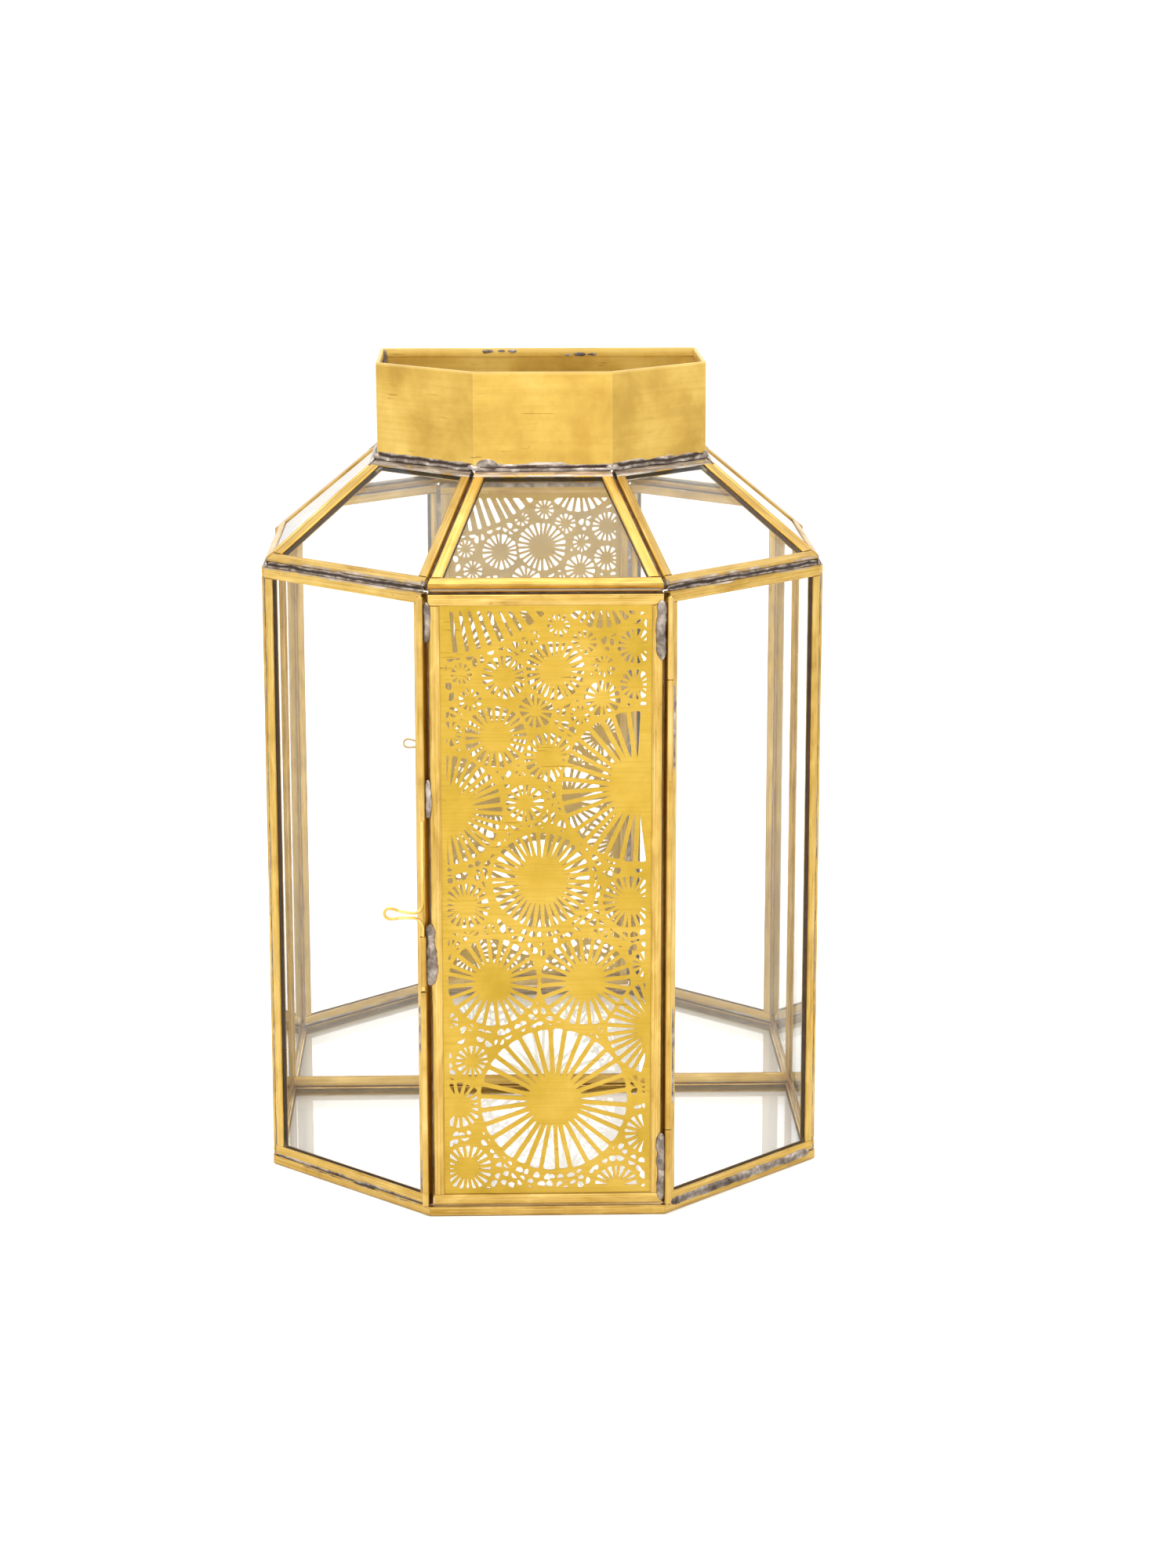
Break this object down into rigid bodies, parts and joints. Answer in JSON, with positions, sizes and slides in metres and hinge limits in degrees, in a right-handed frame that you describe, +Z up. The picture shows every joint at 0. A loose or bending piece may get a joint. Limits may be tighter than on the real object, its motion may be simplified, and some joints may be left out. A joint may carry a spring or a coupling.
{
  "type": "half-octagon glass table lantern",
  "caption": "Brass-edged glass table lantern with a flat mirror back, an open collar, and a pierced brass door on a wire hinge with a sliding wire latch.",
  "frame": {"origin": "under the middle of the lantern's overall box, on the surface it stands on", "axes": "+Z up, +Y towards the mirror back, so the door faces -Y, +X to the right of someone facing the door"},
  "size_m": [0.221, 0.16, 0.3224],
  "materials": {
    "channel_brass": "aged satin",
    "sheet_brass": "brushed, mottled",
    "wire_brass": "bright drawn wire",
    "clear_glass": "clear, polished",
    "mirror": "silvered glass",
    "solder": "dull lumpy tin solder"
  },
  "bodies": {
    "lantern_body": {"base_frame": "channel_brass", "base_glass": "clear_glass", "left_front_frame": "channel_brass", "left_front_glass": "clear_glass", "right_front_frame": "channel_brass", "right_front_glass": "clear_glass", "left_side_frame": "channel_brass", "left_side_glass": "clear_glass", "right_side_frame": "channel_brass", "right_side_glass": "clear_glass", "back_frame": "channel_brass", "back_mirror": "mirror", "roof_front_frame": "channel_brass", "roof_front_glass": "clear_glass", "roof_left_front_frame": "channel_brass", "roof_left_front_glass": "clear_glass", "roof_right_front_frame": "channel_brass", "roof_right_front_glass": "clear_glass", "roof_left_side_frame": "channel_brass", "roof_left_side_glass": "clear_glass", "roof_right_side_frame": "channel_brass", "roof_right_side_glass": "clear_glass", "collar": "sheet_brass", "hinge_knuckle_middle": "channel_brass", "hinge_pin": "wire_brass", "latch_keeper_tube": "channel_brass"},
    "door": {"door_frame": "channel_brass", "door_screen": "sheet_brass", "hinge_knuckle_top": "channel_brass", "hinge_knuckle_bottom": "channel_brass", "latch_tube_upper": "channel_brass", "latch_tube_lower": "channel_brass"},
    "latch": {"latch_wire": "wire_brass"}
  },
  "joints": [
    {"name": "door_hinge", "type": "hinge", "parent": "lantern_body", "child": "door", "pos_m": [0.0468, -0.07835, 0.124], "axis": [0, 0, 1], "range_deg": [0, 120]},
    {"name": "latch_slide", "type": "slide", "parent": "door", "child": "latch", "axis": [0, 0, 1], "range_m": [-0.003, 0.018]}
  ]
}
